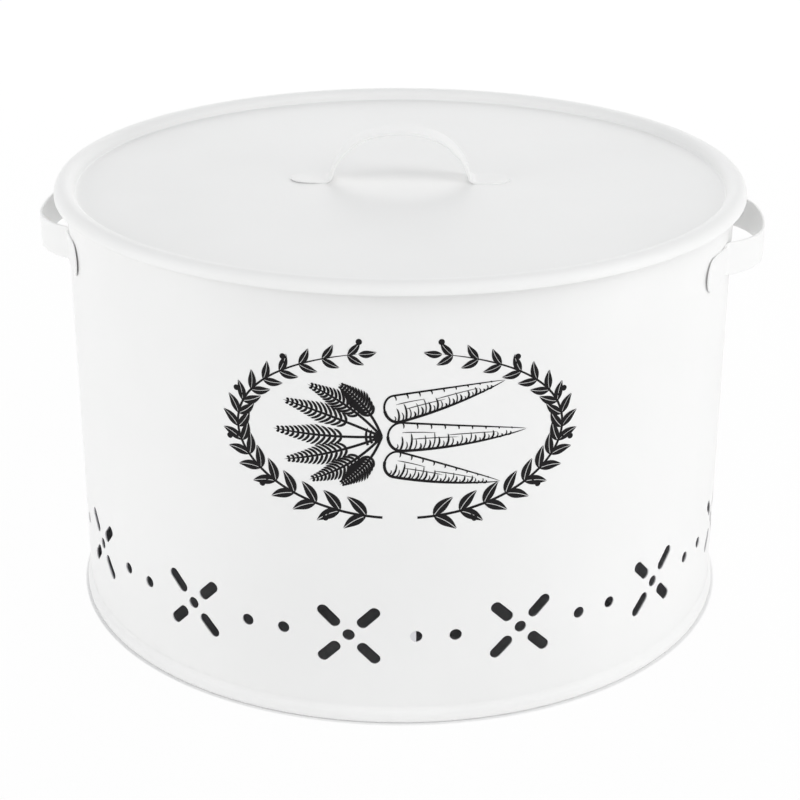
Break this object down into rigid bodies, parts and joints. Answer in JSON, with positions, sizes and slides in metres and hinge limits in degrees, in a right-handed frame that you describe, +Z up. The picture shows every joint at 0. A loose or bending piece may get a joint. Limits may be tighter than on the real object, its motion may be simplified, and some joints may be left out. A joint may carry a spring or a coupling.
{
  "type": "vegetable storage bin",
  "caption": "Round white sheet-metal kitchen bin with a row of cross-and-dot vents, strap handles at both sides and a loose lid with a strap handle.",
  "frame": {"origin": "centre of the base at the floor, under the bottom seam", "axes": "+Z up along the bin's axis, X from the left handle to the right handle, -Y towards the front"},
  "size_m": [0.274, 0.2588, 0.1798],
  "materials": {
    "body_coat": "satin white powder coat",
    "lid_coat": "satin white powder coat",
    "handle_coat": "satin white powder coat"
  },
  "bodies": {
    "bin": {"wall": "body_coat", "base_plate": "body_coat", "left_handle": "handle_coat", "right_handle": "handle_coat"},
    "lid": {"lid": "lid_coat", "lid_handle": "handle_coat"}
  },
  "joints": [
    {"name": "lid_lift", "type": "slide", "parent": "bin", "child": "lid", "axis": [0, 0, 1], "range_m": [0, 0.2]}
  ]
}
